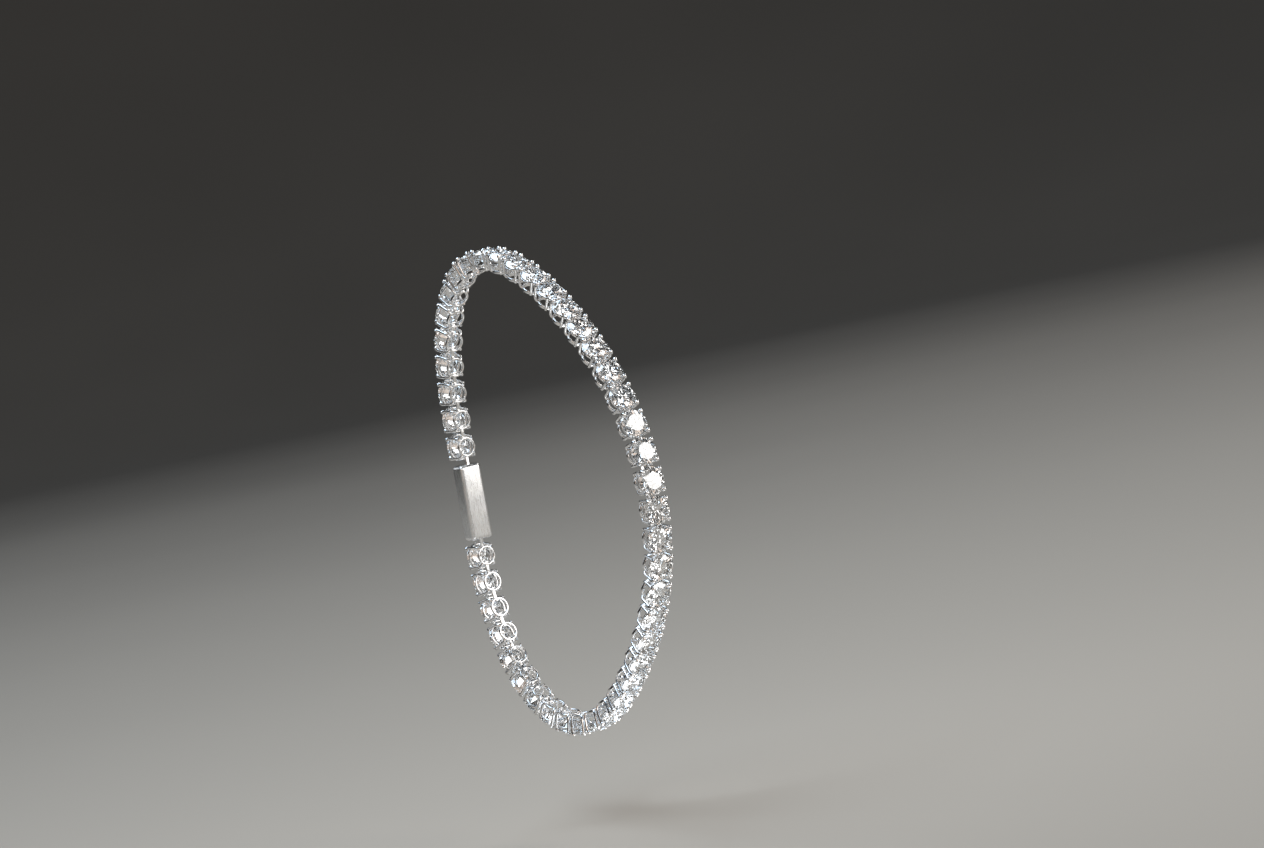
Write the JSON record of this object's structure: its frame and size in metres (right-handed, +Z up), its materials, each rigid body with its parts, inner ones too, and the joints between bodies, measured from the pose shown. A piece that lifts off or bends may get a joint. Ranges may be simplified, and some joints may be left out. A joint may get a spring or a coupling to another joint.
{
  "type": "tennis bracelet",
  "caption": "Closed oval bracelet of round faceted stones in hinged four-prong basket settings of white metal, with a plain box clasp, held in its worn shape.",
  "frame": {"origin": "the inside of the row at its highest point, where it rests on top of the wrist", "axes": "+Z up, the long way across the oval as it hangs; +Y along the arm towards the hand, across the row; +X towards the side that shows, so the loop lies in the X-Z plane and the clasp is at -X"},
  "size_m": [0.0492, 0.0038, 0.0695],
  "materials": {
    "metal": "polished, rhodium-plated white metal",
    "stone": "polished, colourless, brilliant cut"
  },
  "bodies": {
    "root": {"setting_run_1": "metal", "setting_run_2": "metal", "setting_run_3": "metal", "setting_run_4": "metal", "setting_run_5": "metal", "setting_run_6": "metal", "setting_run_7": "metal", "setting_run_8": "metal", "clasp": "metal", "stone_01": "stone", "stone_02": "stone", "stone_03": "stone", "stone_04": "stone", "stone_05": "stone", "stone_06": "stone", "stone_07": "stone", "stone_08": "stone", "stone_09": "stone", "stone_10": "stone", "stone_11": "stone", "stone_12": "stone", "stone_13": "stone", "stone_14": "stone", "stone_15": "stone", "stone_16": "stone", "stone_17": "stone", "stone_18": "stone", "stone_19": "stone", "stone_20": "stone", "stone_21": "stone", "stone_22": "stone", "stone_23": "stone", "stone_24": "stone", "stone_25": "stone", "stone_26": "stone", "stone_27": "stone", "stone_28": "stone", "stone_29": "stone", "stone_30": "stone", "stone_31": "stone", "stone_32": "stone", "stone_33": "stone", "stone_34": "stone", "stone_35": "stone", "stone_36": "stone", "stone_37": "stone", "stone_38": "stone", "stone_39": "stone", "stone_40": "stone", "stone_41": "stone", "stone_42": "stone", "stone_43": "stone"}
  },
  "joints": []
}
